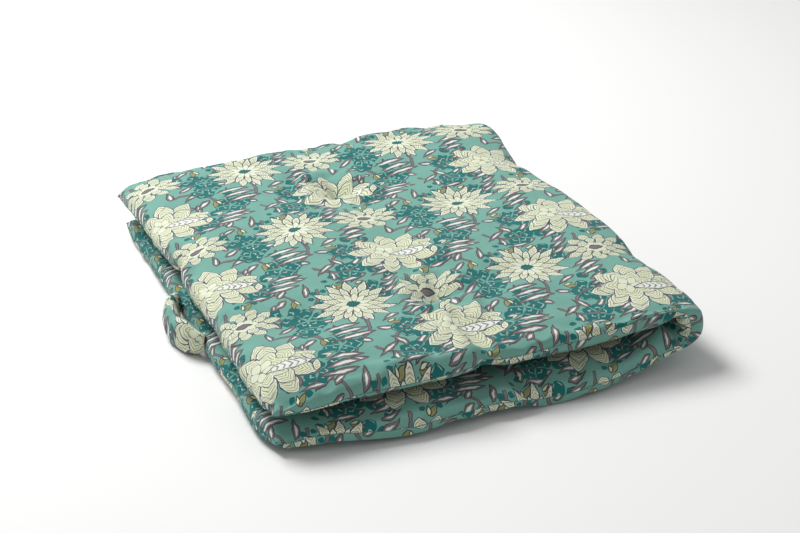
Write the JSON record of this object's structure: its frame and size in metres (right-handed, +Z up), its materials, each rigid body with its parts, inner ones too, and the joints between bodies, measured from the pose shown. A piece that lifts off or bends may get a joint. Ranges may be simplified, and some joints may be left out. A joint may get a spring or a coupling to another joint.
{
  "type": "futon mattress",
  "caption": "Tufted cotton futon mattress with a floral printed cover, folded once in half, with a carry strap on its end seam; unfolds flat on the floor.",
  "frame": {"origin": "middle of the folded mattress on the floor it lies on, its carry strap included", "axes": "+X from the open ends to the fold, +Y along the fold from the front edge to the back edge, +Z up"},
  "size_m": [0.63, 0.7, 0.0926],
  "materials": {
    "printed_cotton": "matte plain-weave cotton, block-printed with cream, teal and taupe flowers on sea green",
    "cotton_batting": "soft undyed cotton batting",
    "sewing_thread": "matte cotton thread and doubled cloth",
    "tufting_twine": "waxed cotton twine"
  },
  "bodies": {
    "lower_half": {"outer_panel_lower": "printed_cotton", "inner_panel_lower": "printed_cotton", "batting_outer_lower": "cotton_batting", "batting_middle_lower": "cotton_batting", "batting_inner_lower": "cotton_batting", "edge_seam_lower": "sewing_thread", "tuft_twine_lower": "tufting_twine", "handle_anchor_tabs": "printed_cotton"},
    "fold_section": {"outer_panel_fold": "printed_cotton", "inner_panel_fold": "printed_cotton", "batting_outer_fold": "cotton_batting", "batting_middle_fold": "cotton_batting", "batting_inner_fold": "cotton_batting", "edge_seam_fold": "sewing_thread", "tuft_twine_fold": "tufting_twine"},
    "upper_half": {"outer_panel_upper": "printed_cotton", "inner_panel_upper": "printed_cotton", "batting_outer_upper": "cotton_batting", "batting_middle_upper": "cotton_batting", "batting_inner_upper": "cotton_batting", "edge_seam_upper": "sewing_thread", "tuft_twine_upper": "tufting_twine"},
    "carry_strap": {"carry_handle": "printed_cotton"}
  },
  "joints": [
    {"name": "fold_open", "type": "hinge", "parent": "lower_half", "child": "fold_section", "pos_m": [0.30144, 0, 0.01356], "axis": [0, 1, 0], "range_deg": [0, 90]},
    {"name": "upper_open", "type": "hinge", "parent": "fold_section", "child": "upper_half", "pos_m": [0.30144, 0, 0.07904], "axis": [0, 1, 0], "range_deg": [0, 90]},
    {"name": "strap_lift", "type": "hinge", "parent": "lower_half", "child": "carry_strap", "pos_m": [-0.29, 0, 0.023], "axis": [0, 1, 0], "range_deg": [0, 45]}
  ],
  "couplings": [
    {"joint": "upper_open", "follows": "fold_open", "ratio": 1}
  ]
}
